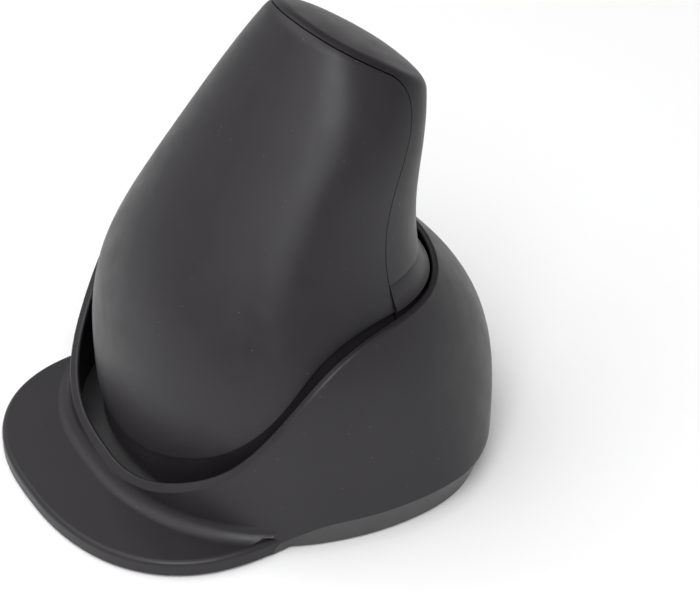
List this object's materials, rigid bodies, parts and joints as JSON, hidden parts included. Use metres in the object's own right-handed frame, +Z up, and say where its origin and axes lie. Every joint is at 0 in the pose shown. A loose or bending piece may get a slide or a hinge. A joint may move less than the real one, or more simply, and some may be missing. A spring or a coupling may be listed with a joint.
{
  "type": "vertical mouse",
  "caption": "Tall upright computer mouse with a tapering grip in a cupped collar, a flat hand rest, stacked finger buttons, a scroll wheel and glide feet.",
  "frame": {"origin": "on the desk under the middle of the body's bounding box, on the plane that halves it", "axes": "+Z up from the desk, +Y forwards to the nose with the charging port, -Y to the hand rest, +X to the right of someone looking along +Y"},
  "size_m": [0.1104, 0.122, 0.1124],
  "materials": {
    "soft_black": "fine grained soft-touch plastic, charcoal black",
    "base_black": "moulded plastic, dark grey",
    "inner_plastic": "moulded plastic, dark grey, unpainted",
    "tread_rubber": "moulded rubber",
    "glide": "low friction plastic, slightly shiny",
    "steel": "zinc plated steel",
    "port_steel": "bright stamped steel",
    "board_green": "glass-fibre board with green solder resist",
    "chip_black": "moulded chip package",
    "radio_can": "plated shield can",
    "switch_body": "moulded switch housing",
    "switch_plunger": "moulded plastic, off-white",
    "lens_clear": "clear moulded plastic",
    "cell_foil": "foil pouch",
    "wire": "insulated wire",
    "ribbon": "flat flexible ribbon",
    "connector": "moulded connector, off-white",
    "encoder_dark": "dark clear resin"
  },
  "bodies": {
    "housing": {"collar": "soft_black", "back_shell": "soft_black", "front_shell": "soft_black", "base_plate": "base_black", "rear_glide_foot": "glide", "front_glide_foot": "glide", "side_glide_feet": "glide", "case_screws": "steel", "board_screws": "steel", "grip_frame": "inner_plastic", "button_board": "board_green", "upper_switch": "switch_body", "lower_switch": "switch_body", "wheel_bracket": "inner_plastic", "wheel_click_switches": "switch_body", "battery_pack": "cell_foil", "battery_lead": "wire", "battery_connector": "connector", "main_board": "board_green", "controller_chip": "chip_black", "radio_module": "radio_can", "optical_sensor": "chip_black", "sensor_lens": "lens_clear", "ribbon_cable": "ribbon", "lower_ribbon_connector": "connector", "upper_ribbon_connector": "connector", "charge_board": "board_green", "usb_port": "port_steel", "charge_lead": "wire", "power_switch_body": "switch_body", "pairing_switch": "switch_body"},
    "upper_button_body": {"upper_button": "soft_black"},
    "lower_button_body": {"lower_button": "soft_black"},
    "upper_plunger_body": {"upper_switch_plunger": "switch_plunger"},
    "lower_plunger_body": {"lower_switch_plunger": "switch_plunger"},
    "carrier_body": {"wheel_carrier": "inner_plastic", "wheel_axle": "steel", "encoder_emitter": "encoder_dark", "encoder_receiver": "encoder_dark"},
    "wheel_body": {"wheel_tyre": "tread_rubber", "wheel_hub": "inner_plastic"},
    "click_plunger_body": {"wheel_click_plungers": "switch_plunger"},
    "power_knob_body": {"power_switch_knob": "glide"},
    "pairing_button_body": {"pairing_button": "glide"}
  },
  "joints": [
    {"name": "upper_button_hinge", "type": "hinge", "parent": "housing", "child": "upper_button_body", "pos_m": [0, 0.0356, 0.0915], "axis": [-1, 0, 0], "range_deg": [0, 2.5], "stiffness_Nm_per_rad": 0.14},
    {"name": "lower_button_hinge", "type": "hinge", "parent": "housing", "child": "lower_button_body", "pos_m": [0, 0.0333, 0.0505], "axis": [1, 0, 0], "range_deg": [0, 2.5], "stiffness_Nm_per_rad": 0.14},
    {"name": "upper_plunger_slide", "type": "slide", "parent": "housing", "child": "upper_plunger_body", "axis": [0, -1, 0], "range_m": [0, 0.0005]},
    {"name": "lower_plunger_slide", "type": "slide", "parent": "housing", "child": "lower_plunger_body", "axis": [0, -1, 0], "range_m": [0, 0.0005]},
    {"name": "wheel_click_slide", "type": "slide", "parent": "housing", "child": "carrier_body", "axis": [0, -1, 0], "range_m": [0, 0.0005], "stiffness_N_per_m": 1500},
    {"name": "wheel_click_plunger_slide", "type": "slide", "parent": "housing", "child": "click_plunger_body", "axis": [0, -1, 0], "range_m": [0, 0.0005]},
    {"name": "wheel_spin", "type": "hinge", "parent": "carrier_body", "child": "wheel_body", "pos_m": [0, 0.0327, 0.071], "axis": [0, 0, 1], "continuous": true},
    {"name": "power_switch_slide", "type": "slide", "parent": "housing", "child": "power_knob_body", "axis": [1, 0, 0], "range_m": [0, 0.004]},
    {"name": "pairing_button_slide", "type": "slide", "parent": "housing", "child": "pairing_button_body", "axis": [0, 0, 1], "range_m": [0, 0.0005], "stiffness_N_per_m": 800}
  ],
  "couplings": [
    {"joint": "upper_plunger_slide", "follows": "upper_button_hinge", "m_per_rad": 0.01},
    {"joint": "lower_plunger_slide", "follows": "lower_button_hinge", "m_per_rad": 0.01},
    {"joint": "wheel_click_plunger_slide", "follows": "wheel_click_slide", "ratio": 1}
  ]
}
